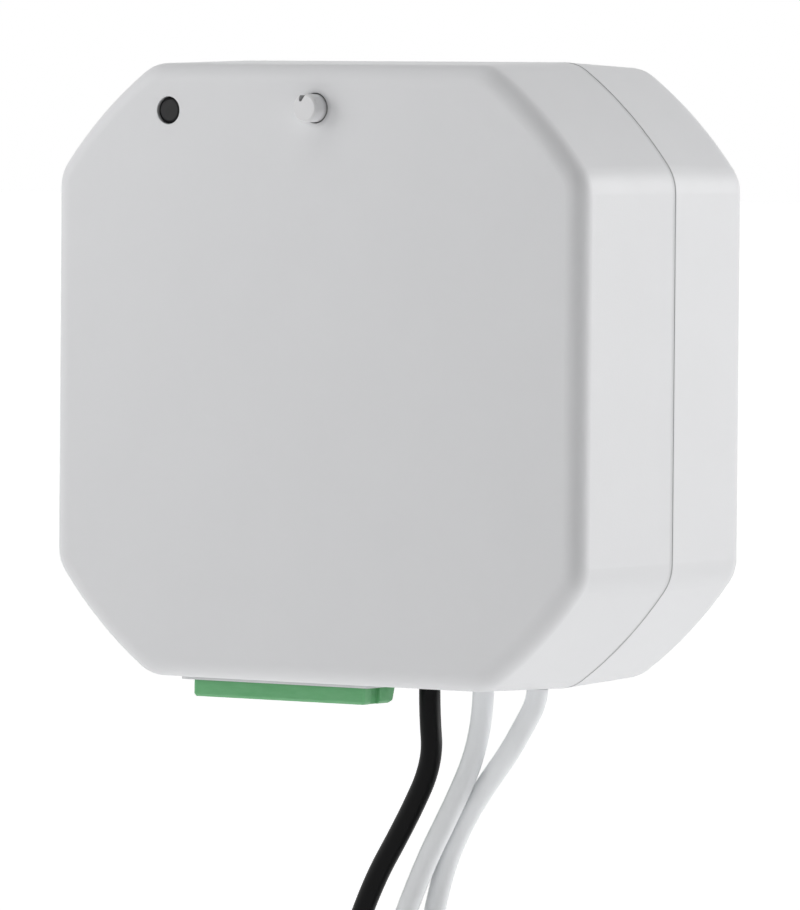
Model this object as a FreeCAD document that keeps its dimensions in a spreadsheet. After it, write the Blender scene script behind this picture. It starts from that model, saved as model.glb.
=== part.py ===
import FreeCAD, Part
import math
import os

import Sketcher
from FreeCAD import Vector

# Roller shutter module for a round wall box: a two-shell casing with an indicator window and a
# push button in front, a green screw terminal below, three switch leads, and the board inside.
# Millimetres. The origin is the centre of the flat rear face: X to the right, Y towards the
# back, Z up. The front face looks along -Y.

doc = FreeCAD.newDocument("ShutterModule")
sheet = doc.addObject("Spreadsheet::Sheet", "size")


class Size:
    """A length that keeps its number and the sheet formula that gives it."""

    def __init__(self, number, formula):
        self.number = float(number)
        self.formula = formula

    def __add__(self, other):
        other = as_size(other)
        return Size(self.number + other.number, f"({self.formula} + {other.formula})")

    def __sub__(self, other):
        other = as_size(other)
        return Size(self.number - other.number, f"({self.formula} - {other.formula})")

    def __mul__(self, other):
        other = as_size(other)
        return Size(self.number * other.number, f"({self.formula} * {other.formula})")

    def __truediv__(self, other):
        other = as_size(other)
        return Size(self.number / other.number, f"({self.formula} / {other.formula})")

    def __neg__(self):
        return Size(-self.number, f"(-1 * {self.formula})")

    def __radd__(self, other):
        return as_size(other) + self

    def __rsub__(self, other):
        return as_size(other) - self

    def __rmul__(self, other):
        return as_size(other) * self


def as_size(value):
    """A plain number as a Size, so that both can be mixed."""
    if isinstance(value, Size):
        return value
    return Size(value, repr(float(value)))


def size(alias, number):
    """One row of the sheet: the name of a driving dimension and its number."""
    row = len(sheet_rows) + 1
    sheet_rows.append(alias)
    sheet.set(f"A{row}", alias)
    sheet.set(f"B{row}", str(number))
    sheet.setAlias(f"B{row}", alias)
    return Size(number, f"size.{alias}")


sheet_rows = []

# Casing, outside
width = size("width", 47.0)
height = size("height", 45.3)
cover_depth = size("cover_depth", 11.7)
case_depth = size("case_depth", 10.65)
corner_radius = size("corner_radius", 31.8)
corner_centre_x = size("corner_centre_x", 2.45)
corner_reach_z = size("corner_reach_z", 26.65)
corner_centre_z = corner_reach_z - height / 2
corner_blend = size("corner_blend", 3.4)
cover_draft = size("cover_draft", 1.45)
case_draft = size("case_draft", 2.19)
cover_round = size("cover_round", 1.4)
case_round = size("case_round", 2.0)

# The casing that the board was laid out for, and how far this one departs from it
layout_width = size("layout_width", 47.0)
layout_height = size("layout_height", 45.3)
across_share = width / layout_width
up_share = height / layout_height

# Casing, walls and the joint between the shells
wall = size("wall", 1.5)
plate = size("plate", 1.6)
seam = size("seam", 0.25)
lip_length = size("lip_length", 1.7)
lip_gap = size("lip_gap", 0.1)
bead_length = size("bead_length", 5.0)
bead_width = size("bead_width", 0.5)
bead_height = size("bead_height", 0.25)
bead_spacing = size("bead_spacing", 16.0)

# Board and the ribs that hold it
board_gap = size("board_gap", 2.2)
board_thickness = size("board_thickness", 1.6)
board_margin = size("board_margin", 0.45)
rib_width = size("rib_width", 1.2)
rib_length = size("rib_length", 3.6) * up_share
rib_x = size("rib_x", 17.4) * across_share
rib_z = size("rib_z", 15.3) * up_share
rib_gap = size("rib_gap", 0.05)

# Indicator window
window_from_side = size("window_from_side", 10.6)
window_from_top = size("window_from_top", 3.7)
window_x = width / 2 - window_from_side
window_z = height / 2 - window_from_top
lens_radius = size("lens_radius", 0.95)
lens_flange_radius = size("lens_flange_radius", 1.35)
lens_flange_thickness = size("lens_flange_thickness", 0.5)
lens_recess = size("lens_recess", 0.12)
lens_bevel = size("lens_bevel", 0.2)
lens_bevel_depth = size("lens_bevel_depth", 0.12)
sleeve_wall = size("sleeve_wall", 0.7)
sleeve_length = size("sleeve_length", 0.9)
running_gap = size("running_gap", 0.06)

# Push button and its switch
button_x = size("button_x", 0.15)
button_from_top = size("button_from_top", 3.45)
button_z = height / 2 - button_from_top
button_radius = size("button_radius", 1.02)
button_gap = size("button_gap", 0.08)
button_out = size("button_out", 1.4)
button_travel = size("button_travel", 0.3)
button_edge = size("button_edge", 0.12)
button_flange_radius = size("button_flange_radius", 1.55)
button_flange_thickness = size("button_flange_thickness", 0.5)
button_rest_gap = size("button_rest_gap", 0.05)
notch_depth = size("notch_depth", 0.8)
switch_width = size("switch_width", 4.0)
switch_depth = size("switch_depth", 3.0)
switch_height = size("switch_height", 1.2)
stem_radius = size("stem_radius", 0.8)
stem_out = size("stem_out", 0.4)
stem_inside = size("stem_inside", 0.4)
stem_spare = size("stem_spare", 0.2)

# Screw terminal
poles = 4
pitch = size("pitch", 3.81)
terminal_x = size("terminal_x", -6.45)
terminal_cheek = size("terminal_cheek", 1.935)
terminal_height = size("terminal_height", 7.7)
terminal_depth = size("terminal_depth", 9.0)
foot_out = size("foot_out", 1.15)
foot_height = size("foot_height", 3.9)
foot_reach = size("foot_reach", 2.9)
foot_slant = size("foot_slant", 0.25)
terminal_bevel = size("terminal_bevel", 0.2)
end_groove_width = size("end_groove_width", 1.1)
end_groove_depth = size("end_groove_depth", 0.35)
end_groove_from_front = size("end_groove_from_front", 1.5)
opening_gap = size("opening_gap", 0.15)
collar_width = size("collar_width", 0.5)
collar_height = size("collar_height", 0.2)
entry_radius = size("entry_radius", 1.2)
entry_up = size("entry_up", 1.9)
entry_length = size("entry_length", 3.7)
chamber_width = size("chamber_width", 3.25)
cage_width = size("cage_width", 3.1)
cage_depth = size("cage_depth", 3.2)
cage_side = size("cage_side", 0.3)
cage_floor = size("cage_floor", 0.5)
cage_top = size("cage_top", 0.8)
cage_lift = size("cage_lift", 1.4)
cage_gap = size("cage_gap", 0.1)
clamp_gap = size("clamp_gap", 0.2)
bar_thickness = size("bar_thickness", 0.5)
bar_width = size("bar_width", 2.2)
leg_width = size("leg_width", 1.0)
leg_thickness = size("leg_thickness", 0.6)
leg_gap = size("leg_gap", 0.15)
tail_length = size("tail_length", 1.0)
screw_radius = size("screw_radius", 1.0)
screw_head_radius = size("screw_head_radius", 1.4)
screw_head_height = size("screw_head_height", 1.0)
screw_slot_width = size("screw_slot_width", 0.5)
screw_slot_depth = size("screw_slot_depth", 0.45)
screw_seat = size("screw_seat", 0.03)
screw_end_gap = size("screw_end_gap", 0.3)
chamber_roof = size("chamber_roof", 0.9)
access_radius = size("access_radius", 1.5)
access_wall = size("access_wall", 0.8)
access_gap = size("access_gap", 0.4)

# Switch leads
leads = 3
lead_radius = size("lead_radius", 0.8)
lead_gap = size("lead_gap", 0.05)
lead_first_x = size("lead_first_x", 3.4)
lead_pitch = size("lead_pitch", 4.72)
lead_inset = size("lead_inset", 1.2)
lead_straight = size("lead_straight", 2.2)
lead_stub = size("lead_stub", 1.0)
core_radius = size("core_radius", 0.38)
core_bare = size("core_bare", 6.0)

# Small features inside
switch_round = size("switch_round", 0.2)
can_bevel = size("can_bevel", 0.4)
varistor_radius = size("varistor_radius", 3.6) * across_share * up_share
varistor_thickness = size("varistor_thickness", 3.6) * up_share
varistor_x = size("varistor_x", -3.3) * across_share
varistor_z = size("varistor_z", 1.0) * up_share
varistor_stand = size("varistor_stand", 1.2)
varistor_leg = size("varistor_leg", 0.6)
radio_x = size("radio_x", -6.6) * across_share
radio_z = size("radio_z", 14.6) * up_share
radio_width = size("radio_width", 15.0) * across_share
radio_depth = size("radio_depth", 10.4) * up_share
radio_thickness = size("radio_thickness", 0.8)
radio_lift = size("radio_lift", 2.5)
header_length = size("header_length", 12.7) * across_share
header_width = size("header_width", 2.2) * up_share
header_inset = size("header_inset", 0.2)
antenna_radius = size("antenna_radius", 0.5)
antenna_inset = size("antenna_inset", 1.5)
antenna_rise = size("antenna_rise", 4.5)
antenna_run = size("antenna_run", 15.0) * across_share
part_bevel = size("part_bevel", 0.4)
header_z = radio_z - radio_depth / 2 + header_width / 2 + header_inset


def block_size(name, length, width_up, tall, x, z):
    """The five sheet rows of a moulded block, which keeps its share of the board."""
    return (
        size(f"{name}_length", length) * across_share,
        size(f"{name}_width", width_up) * up_share,
        size(f"{name}_height", tall),
        size(f"{name}_x", x) * across_share,
        size(f"{name}_z", z) * up_share,
    )


def can_size(name, radius, tall, x, z):
    """The four sheet rows of a round can, which keeps its share of the board."""
    return (
        size(f"{name}_radius", radius) * across_share * up_share,
        size(f"{name}_height", tall),
        size(f"{name}_x", x) * across_share,
        size(f"{name}_z", z) * up_share,
    )


# Blocks and cans on the board: sizes, then the place
relay_up_size = block_size("relay_up", 17.8, 10.2, 12.3, -11.1, -8.3)
relay_down_size = block_size("relay_down", 17.8, 10.2, 12.3, 8.1, -8.3)
film_size = block_size("film", 13.0, 6.0, 11.0, -12.7, 1.0)
transformer_size = block_size("transformer", 11.0, 9.8, 9.0, 5.6, 2.6)
rectifier_size = block_size("rectifier", 4.6, 3.8, 2.4, -4.5, 7.1)
power_chip_size = block_size("power_chip", 4.9, 3.9, 1.5, 4.1, 17.4)
controller_size = block_size("controller", 9.0, 4.6, 1.7, 7.0, 10.6)
shield_size = block_size("shield", 9.6, 8.4, 2.0, -8.6, 14.6)
led_size = (
    size("led_length", 2.0),
    size("led_width", 1.25),
    size("led_height", 0.9),
    -window_x,
    window_z,
)
fuse_size = block_size("fuse", 8.4, 4.0, 7.7, -12.6, 7.1)
inductor_size = block_size("inductor", 6.2, 6.2, 4.0, 16.6, 9.8)
bulk_size = can_size("bulk", 4.0, 12.0, 16.2, 2.4)
smoothing_size = can_size("smoothing", 3.1, 7.0, 11.2, 17.2)

# Places along Y, from the driving dimensions
parting_y = -case_depth
front_y = -case_depth - cover_depth
cover_edge_y = parting_y - seam / 2
case_edge_y = parting_y + seam / 2
inner_front_y = front_y + plate
board_front_y = inner_front_y + board_gap
board_rear_y = board_front_y + board_thickness
lead_y = parting_y - lead_inset

# Places across the terminal
terminal_width = pitch * (poles - 1) + terminal_cheek * 2
first_pole_x = terminal_x - pitch * (poles - 1) / 2
foot_z = -height / 2 - foot_out
terminal_top_y = board_rear_y + terminal_height
entry_y = board_rear_y + entry_up
chamber_front_z = foot_z + entry_length
cage_z = chamber_front_z + cage_gap * 2 + cage_depth / 2
leg_z = cage_z + cage_depth / 2 + cage_gap + leg_thickness / 2
chamber_depth = cage_depth + leg_thickness + cage_gap * 4
chamber_z = chamber_front_z + chamber_depth / 2
head_bottom_y = terminal_top_y + screw_seat
head_top_y = head_bottom_y + screw_head_height
chamber_height = terminal_height - chamber_roof
cage_bottom_y = board_rear_y + cage_gap
cage_height = chamber_height - cage_gap * 2 - cage_lift
bar_y = entry_y + entry_radius + clamp_gap

PLANE_NORMAL = {"XY_Plane": "+Z", "XZ_Plane": "-Y", "YZ_Plane": "+X"}
ORIGIN_POINT = (-1, 1)
SKETCH_AXES = {"across": -1, "up": -2}

# How far a cut that goes right through starts and ends outside the material
OVERCUT = 1.0

# The nick in the button's rim, from the button's middle: to the right and up
NICK = [(-0.43, 0.78), (-0.42, 0.5), (-0.27, 0.47), (0.15, 1.0), (0.05, 1.2), (-0.4, 1.2)]


class Piece:
    """One sub-part, built as a body of sketched features."""

    def __init__(self, node):
        self.node = node
        self.body = doc.addObject("PartDesign::Body", f"Body_{node}")
        self.body.Label = node
        self.body.AllowCompound = True

    def origin(self, role):
        """An origin plane or axis of the body."""
        for feature in self.body.Origin.OriginFeatures:
            if feature.Role == role:
                return feature
        raise ValueError(role)

    def sketch(self, name, plane, x=0, y=0, z=0):
        """A sketch on an origin plane, moved so that its own origin is at (x, y, z)."""
        drawing = self.body.newObject("Sketcher::SketchObject", f"{name}_{self.node}")
        drawing.AttachmentSupport = [(self.origin(plane), "")]
        drawing.MapMode = "FlatFace"
        offsets = {
            "XY_Plane": (x, y, z),
            "XZ_Plane": (x, z, -as_size(y)),
            "YZ_Plane": (y, z, x),
        }[plane]
        for axis, offset in zip("xyz", offsets):
            drawing.setExpression(f"AttachmentOffset.Base.{axis}", as_size(offset).formula)
        return drawing

    def normal(self, drawing):
        """The direction that a sketch's plane faces."""
        return PLANE_NORMAL[drawing.AttachmentSupport[0][0].Role]

    def pad(self, drawing, length, towards, taper=None):
        """Material from a sketch, in a row direction such as -Y."""
        feature = self.body.newObject("PartDesign::Pad", f"Pad_{drawing.Name}")
        feature.Profile = drawing
        feature.setExpression("Length", as_size(length).formula)
        feature.Reversed = towards != self.normal(drawing)
        if taper is not None:
            feature.setExpression("TaperAngle", (-taper).formula)
        drawing.Visibility = False
        return feature

    def pocket(self, drawing, length, towards, taper=None):
        """A cut from a sketch, in a row direction such as +Y."""
        feature = self.body.newObject("PartDesign::Pocket", f"Pocket_{drawing.Name}")
        feature.Profile = drawing
        feature.setExpression("Length", as_size(length).formula)
        feature.Reversed = towards == self.normal(drawing)
        if taper is not None:
            feature.setExpression("TaperAngle", (-taper).formula)
        return feature

    def turn(self, name, x, y, z, outline_points):
        """A turned solid on an axis along Y: points are (distance along Y, radius)."""
        drawing = self.sketch(name, "YZ_Plane", x, y, z)
        polygon(drawing, outline_points)
        feature = self.body.newObject("PartDesign::Revolution", f"Turned_{drawing.Name}")
        feature.Profile = drawing
        feature.ReferenceAxis = (drawing, ["H_Axis"])
        feature.Angle = 360.0
        return feature

    def row(self, features, spacing, count):
        """Copies of features in a row along X."""
        pattern = self.body.newObject("PartDesign::LinearPattern", f"Row_{self.node}")
        pattern.Originals = features
        pattern.Direction = (self.origin("X_Axis"), [""])
        pattern.setExpression("Length", (spacing * (count - 1)).formula)
        pattern.Occurrences = count
        self.body.Tip = pattern
        return pattern

    def edges(self, wanted):
        """The last feature and those of its edges that wanted takes by their end points."""
        doc.recompute()
        base = self.body.Tip
        names = []
        for number, edge in enumerate(base.Shape.Edges, 1):
            if wanted([vertex.Point for vertex in edge.Vertexes]):
                names.append(f"Edge{number}")
        return base, names

    def round(self, radius, wanted):
        """Rounded edges."""
        edges = self.edges(wanted)
        feature = self.body.newObject("PartDesign::Fillet", f"Round{len(self.body.Group)}_{self.node}")
        feature.Base = edges
        feature.setExpression("Radius", radius.formula)
        return feature

    def bevel(self, step, wanted):
        """Bevelled edges."""
        edges = self.edges(wanted)
        feature = self.body.newObject("PartDesign::Chamfer", f"Bevel{len(self.body.Group)}_{self.node}")
        feature.Base = edges
        feature.setExpression("Size", step.formula)
        return feature


def drive(drawing, kind, *where_and_value):
    """A sketch dimension bound to the sheet."""
    value = where_and_value[-1]
    index = drawing.addConstraint(Sketcher.Constraint(kind, *where_and_value[:-1], value.number))
    drawing.setExpression(f"Constraints[{index}]", value.formula)


def place(drawing, geometry, point, x, y):
    """Fix a point of a sketch at (x, y) from the sketch's origin."""
    for kind, axis, value in (("DistanceX", "up", as_size(x)), ("DistanceY", "across", as_size(y))):
        if value.number == 0:
            drawing.addConstraint(Sketcher.Constraint("PointOnObject", geometry, point, SKETCH_AXES[axis]))
        elif value.number > 0:
            drive(drawing, kind, *ORIGIN_POINT, geometry, point, value)
        else:
            drive(drawing, kind, geometry, point, *ORIGIN_POINT, -value)


def circle(drawing, radius, x=0, y=0):
    """A circle about (x, y)."""
    radius = as_size(radius)
    middle = Vector(as_size(x).number, as_size(y).number, 0)
    ring = drawing.addGeometry(Part.Circle(middle, Vector(0, 0, 1), radius.number))
    drive(drawing, "Radius", ring, radius)
    place(drawing, ring, 3, x, y)


def polygon(drawing, points):
    """A closed outline of straight lines through points."""
    points = [(as_size(x), as_size(y)) for x, y in points]
    first = None
    for number, (x, y) in enumerate(points):
        end_x, end_y = points[(number + 1) % len(points)]
        line = Part.LineSegment(Vector(x.number, y.number, 0), Vector(end_x.number, end_y.number, 0))
        index = drawing.addGeometry(line)
        if first is None:
            first = index
        else:
            drawing.addConstraint(Sketcher.Constraint("Coincident", index - 1, 2, index, 1))
        place(drawing, index, 1, x, y)
    drawing.addConstraint(Sketcher.Constraint("Coincident", index, 2, first, 1))


def rectangle(drawing, across, up, x=0, y=0):
    """A rectangle about (x, y)."""
    left, right = as_size(x) - as_size(across) / 2, as_size(x) + as_size(across) / 2
    low, high = as_size(y) - as_size(up) / 2, as_size(y) + as_size(up) / 2
    polygon(drawing, [(left, low), (right, low), (right, high), (left, high)])


def direction(centre, point):
    """The angle from a centre to a point."""
    return math.atan2(point.y - centre.y, point.x - centre.x)


def casing_outline(drawing, inset):
    """The casing's outline moved in by inset: flat sides, shallow corners and small blends."""
    half_width, half_height = width / 2 - inset, height / 2 - inset
    large, small = corner_radius - inset, corner_blend - inset
    reach = large.number - small.number
    side_x, top_z = half_width.number - small.number, half_height.number - small.number
    side_z = math.sqrt(reach**2 - (side_x + corner_centre_x.number) ** 2) - corner_centre_z.number
    top_x = math.sqrt(reach**2 - (top_z + corner_centre_z.number) ** 2) - corner_centre_x.number
    ends = [
        (Vector(half_width.number, -side_z, 0), Vector(half_width.number, side_z, 0)),
        (Vector(top_x, half_height.number, 0), Vector(-top_x, half_height.number, 0)),
        (Vector(-half_width.number, side_z, 0), Vector(-half_width.number, -side_z, 0)),
        (Vector(-top_x, -half_height.number, 0), Vector(top_x, -half_height.number, 0)),
    ]
    sides = [drawing.addGeometry(Part.LineSegment(*pair)) for pair in ends]
    for number, (sign_x, sign_z) in enumerate(((1, 1), (-1, 1), (-1, -1), (1, -1))):
        after = (number + 1) % 4
        start, end = ends[number][1], ends[after][0]
        middle = Vector(-sign_x * corner_centre_x.number, -sign_z * corner_centre_z.number, 0)
        first, last = Vector(side_x * sign_x, side_z * sign_z, 0), Vector(top_x * sign_x, top_z * sign_z, 0)
        if sign_x != sign_z:
            first, last = last, first
        turns = (
            (first, small, direction(first, start), direction(middle, first)),
            (middle, large, direction(middle, first), direction(middle, last)),
            (last, small, direction(middle, last), direction(last, end)),
        )
        chain = [sides[number]]
        for centre, radius, begin, finish in turns:
            full = Part.Circle(centre, Vector(0, 0, 1), radius.number)
            chain.append(drawing.addGeometry(Part.ArcOfCircle(full, begin, finish)))
        chain.append(sides[after])
        for one, following in zip(chain, chain[1:]):
            drawing.addConstraint(Sketcher.Constraint("Tangent", one, 2, following, 1))
        for arc, radius in zip(chain[1:4], (small, large, small)):
            drive(drawing, "Radius", arc, radius)
        place(drawing, chain[2], 3, corner_centre_x * -sign_x, corner_centre_z * -sign_z)
    right, top, left, bottom = sides
    for side, kind in ((right, "Vertical"), (left, "Vertical"), (top, "Horizontal"), (bottom, "Horizontal")):
        drawing.addConstraint(Sketcher.Constraint(kind, side))
    drive(drawing, "DistanceX", *ORIGIN_POINT, right, 1, half_width)
    drive(drawing, "DistanceX", left, 1, *ORIGIN_POINT, half_width)
    drive(drawing, "DistanceY", *ORIGIN_POINT, top, 1, half_height)
    drive(drawing, "DistanceY", bottom, 1, *ORIGIN_POINT, half_height)


def lies_at_y(y):
    """A test for the edges that lie at one place along Y."""
    return lambda points: all(abs(point.y - y.number) < 0.001 for point in points)


def shell(piece, edge_y, depth, draft, edge_round, towards):
    """A drafted, rounded and hollow half of the casing, open at edge_y."""
    outside = piece.sketch("Outline", "XZ_Plane", y=edge_y)
    casing_outline(outside, 0)
    piece.pad(outside, depth, towards, draft)
    plate_y = edge_y + depth if towards == "+Y" else edge_y - depth
    piece.round(edge_round, lies_at_y(plate_y))
    inside = piece.sketch("Cavity", "XZ_Plane", y=edge_y)
    casing_outline(inside, wall)
    piece.pocket(inside, depth - plate, towards, draft)


def four_ribs(piece, name, y, length, towards):
    """The four upright ribs that hold the board."""
    feet = piece.sketch(name, "XZ_Plane", y=y)
    for sign_x in (1, -1):
        for sign_z in (1, -1):
            rectangle(feet, rib_width, rib_length, rib_x * sign_x, rib_z * sign_z)
    piece.pad(feet, length, towards)


def snap_row(piece, name, offset, grow, cut):
    """Two snap beads on each side wall, or the grooves they click into."""
    bead_y = parting_y - lip_length / 2
    for side, towards in ((1, "+X"), (-1, "-X")):
        drawing = piece.sketch(f"{name}{side + 1}", "YZ_Plane", (width / 2 - offset) * side, bead_y, 0)
        for half in (1, -1):
            rectangle(drawing, bead_width + grow * 2, bead_length + grow * 2, 0, bead_spacing / 2 * half)
        if cut:
            piece.pocket(drawing, bead_height + grow * 2, towards)
        else:
            piece.pad(drawing, bead_height + lip_gap, towards)


def front_cover():
    """The front shell: window, button hole, terminal opening with its collar, lead notches."""
    piece = Piece("front_cover")
    shell(piece, cover_edge_y, cover_depth - seam / 2, cover_draft, cover_round, "-Y")

    rebate = piece.sketch("Rebate", "XZ_Plane", y=cover_edge_y)
    casing_outline(rebate, wall / 2 - lip_gap / 2)
    piece.pocket(rebate, lip_length + lip_gap - seam / 2, "-Y")
    snap_row(piece, "Groove", wall / 2 + lip_gap / 2, lip_gap / 2, True)

    four_ribs(piece, "Ribs", inner_front_y, board_gap, "+Y")
    sleeve = piece.sketch("Sleeve", "XZ_Plane", y=inner_front_y)
    circle(sleeve, lens_flange_radius + running_gap + sleeve_wall, -window_x, window_z)
    piece.pad(sleeve, sleeve_length, "+Y")
    seat = piece.sketch("LensSeat", "XZ_Plane", y=inner_front_y)
    circle(seat, lens_flange_radius + running_gap, -window_x, window_z)
    piece.pocket(seat, sleeve_length, "+Y")
    window = piece.sketch("Window", "XZ_Plane", y=front_y)
    circle(window, lens_radius + running_gap, -window_x, window_z)
    piece.pocket(window, plate, "+Y")
    button_hole = piece.sketch("ButtonHole", "XZ_Plane", y=front_y)
    circle(button_hole, button_radius + button_gap, button_x, button_z)
    piece.pocket(button_hole, plate, "+Y")

    opening_y = board_rear_y + foot_height / 2
    inner_bottom_z = -height / 2 + wall
    collar = piece.sketch("Collar", "XY_Plane", terminal_x, opening_y, -height / 2 + wall / 2)
    grown = (opening_gap + collar_width) * 2
    rectangle(collar, terminal_width + grown, foot_height + grown)
    piece.pad(collar, wall / 2 + collar_height, "-Z")
    opening = piece.sketch("Opening", "XY_Plane", terminal_x, opening_y, inner_bottom_z + OVERCUT)
    rectangle(opening, terminal_width + opening_gap * 2, foot_height + opening_gap * 2)
    piece.pocket(opening, wall + OVERCUT * 2, "-Z")

    notch = piece.sketch("LeadNotch", "XY_Plane", lead_first_x, lead_y, inner_bottom_z + OVERCUT)
    circle(notch, lead_radius + lead_gap)
    round_end = piece.pocket(notch, wall + OVERCUT * 2, "-Z")
    slot = piece.sketch("LeadSlot", "XY_Plane", lead_first_x, lead_y, inner_bottom_z + OVERCUT)
    rectangle(slot, (lead_radius + lead_gap) * 2, lead_inset, 0, lead_inset / 2)
    straight = piece.pocket(slot, wall + OVERCUT * 2, "-Z")
    piece.row([round_end, straight], lead_pitch, leads)
    return piece


def rear_case():
    """The rear shell: lip, lead saddles, board posts and the bank of screwdriver bores."""
    piece = Piece("rear_case")
    shell(piece, case_edge_y, case_depth - seam / 2, case_draft, case_round, "+Y")

    lip = piece.sketch("Lip", "XZ_Plane", y=case_edge_y)
    casing_outline(lip, wall / 2 + lip_gap / 2)
    casing_outline(lip, wall)
    piece.pad(lip, seam / 2 + lip_length, "-Y")
    snap_row(piece, "Bead", wall / 2 + lip_gap * 1.5, 0, False)

    saddle_length = case_edge_y - lead_y
    saddle = piece.sketch("Saddle", "XY_Plane", lead_first_x, case_edge_y, -height / 2 + wall)
    rectangle(saddle, lead_radius * 2, saddle_length, 0, -saddle_length / 2)
    saddle_block = piece.pad(saddle, wall - lip_gap / 2, "-Z")
    hole = piece.sketch("LeadHole", "XY_Plane", lead_first_x, lead_y, -height / 2 + wall + OVERCUT)
    circle(hole, lead_radius + lead_gap)
    lead_hole = piece.pocket(hole, wall + OVERCUT * 2, "-Z")
    slot = piece.sketch("LipSlot", "XY_Plane", lead_first_x, lead_y, -height / 2 + wall + OVERCUT)
    rectangle(slot, (lead_radius + lead_gap) * 2, lip_length, 0, -lip_length / 2)
    lip_slot = piece.pocket(slot, wall + OVERCUT * 2, "-Z")
    piece.row([saddle_block, lead_hole, lip_slot], lead_pitch, leads)

    inner_rear_y = -plate
    four_ribs(piece, "Ribs", inner_rear_y, inner_rear_y - board_rear_y - rib_gap, "-Y")

    bank_length = inner_rear_y - terminal_top_y - access_gap
    bank_height = access_radius * 2 + access_wall * 2
    bank = piece.sketch("AccessBank", "XZ_Plane", terminal_x, inner_rear_y, cage_z)
    rectangle(bank, pitch * (poles - 1) + access_radius * 2 + access_wall * 2, bank_height)
    piece.pad(bank, bank_length, "-Y")
    bore = piece.sketch("AccessBore", "XZ_Plane", first_pole_x, 0, cage_z)
    circle(bore, access_radius)
    access_bore = piece.pocket(bore, bank_length + plate + OVERCUT, "-Y")
    piece.row([access_bore], pitch, poles)
    return piece


def push_button():
    """A small round button: stem, bevelled face and the flange that keeps it in."""
    piece = Piece("push_button")
    face_y = front_y - button_out
    flange_front = inner_front_y + button_rest_gap - face_y
    back = flange_front + button_flange_thickness
    piece.turn("Stem", button_x, face_y, button_z, [
        (0, 0),
        (0, button_radius - button_edge),
        (button_edge, button_radius),
        (flange_front, button_radius),
        (flange_front, button_flange_radius),
        (back, button_flange_radius),
        (back, 0),
    ])
    notch = piece.sketch("Notch", "XZ_Plane", button_x, face_y, button_z)
    polygon(notch, NICK)
    piece.pocket(notch, notch_depth, "+Y")
    return piece


def switch_body():
    """The low push switch under the button, with the well that its stem slides in."""
    piece = Piece("switch_body")
    base = piece.sketch("Base", "XZ_Plane", button_x, board_front_y, button_z)
    rectangle(base, switch_width, switch_depth)
    piece.pad(base, switch_height, "-Y")
    piece.round(switch_round, runs_along_y)
    well = piece.sketch("Well", "XZ_Plane", button_x, board_front_y - switch_height, button_z)
    circle(well, stem_radius + running_gap)
    piece.pocket(well, stem_inside + button_travel + stem_spare, "+Y")
    return piece


def runs_along_y(points):
    """Whether an edge of a small part runs from front to back."""
    return abs(points[0].y - points[-1].y) > 0.5


def switch_stem():
    """The stem of the push switch, which the button's flange presses."""
    piece = Piece("switch_stem")
    top_y = board_front_y - switch_height - stem_out
    piece.turn("Stem", button_x, top_y, button_z, [
        (0, 0),
        (0, stem_radius),
        (stem_out + stem_inside, stem_radius),
        (stem_out + stem_inside, 0),
    ])
    return piece


def indicator_lens():
    """The dark light pipe in the window: bevelled face, stem and flange."""
    piece = Piece("indicator_lens")
    face_y = front_y + lens_recess
    flange_front = inner_front_y + running_gap - face_y
    flange_back = flange_front + lens_flange_thickness
    piece.turn("Pipe", -window_x, face_y, window_z, [
        (0, 0),
        (0, lens_radius - lens_bevel),
        (lens_bevel_depth, lens_radius),
        (flange_front, lens_radius),
        (flange_front, lens_flange_radius),
        (flange_back, lens_flange_radius),
        (flange_back, 0),
    ])
    return piece


def main_board():
    """The printed circuit board, cut to the casing's inside, with the terminal's holes."""
    piece = Piece("main_board")
    outline = piece.sketch("Outline", "XZ_Plane", y=board_rear_y)
    casing_outline(outline, wall + board_margin)
    piece.pad(outline, board_thickness, "-Y")
    slot = piece.sketch("LegSlot", "XZ_Plane", first_pole_x, board_rear_y, leg_z)
    rectangle(slot, leg_width + leg_gap * 2, leg_thickness + leg_gap * 2)
    leg_slot = piece.pocket(slot, board_thickness + OVERCUT, "-Y")
    piece.row([leg_slot], pitch, poles)
    return piece


def terminal_housing():
    """The green four-pole terminal: stepped profile, clamp chambers, wire entries, screw bores."""
    piece = Piece("terminal_housing")
    profile = piece.sketch("Profile", "YZ_Plane", terminal_x - terminal_width / 2, board_rear_y, foot_z)
    polygon(profile, [
        (0, 0),
        (foot_height - foot_slant, 0),
        (foot_height, foot_out),
        (foot_height, foot_reach),
        (terminal_height, foot_reach),
        (terminal_height, terminal_depth),
        (0, terminal_depth),
    ])
    piece.pad(profile, terminal_width, "+X")

    def outer_foot_edge(points):
        low = all(abs(point.z - foot_z.number) < 0.001 for point in points)
        front = all(abs(point.y - board_rear_y.number) < 0.001 for point in points)
        ends = abs(points[0].x - points[-1].x) < 0.001
        return low or (front and ends)

    piece.bevel(terminal_bevel, outer_foot_edge)
    groove_y = board_rear_y + end_groove_from_front
    groove = piece.sketch("EndGroove", "YZ_Plane", terminal_x + terminal_width / 2, groove_y, foot_z)
    rectangle(groove, end_groove_width, (terminal_depth + OVERCUT) * 2)
    piece.pocket(groove, end_groove_depth, "-X")

    chamber = piece.sketch("Chamber", "XZ_Plane", first_pole_x, board_rear_y, chamber_z)
    rectangle(chamber, chamber_width, chamber_depth)
    clamp_room = piece.pocket(chamber, chamber_height, "+Y")
    entry = piece.sketch("Entry", "XY_Plane", first_pole_x, entry_y, foot_z)
    circle(entry, entry_radius)
    wire_entry = piece.pocket(entry, entry_length + cage_gap, "+Z")
    bore = piece.sketch("ScrewBore", "XZ_Plane", first_pole_x, terminal_top_y, cage_z)
    circle(bore, screw_radius + running_gap)
    screw_bore = piece.pocket(bore, chamber_roof + cage_gap, "-Y")
    piece.row([clamp_room, wire_entry, screw_bore], pitch, poles)
    return piece


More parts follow.
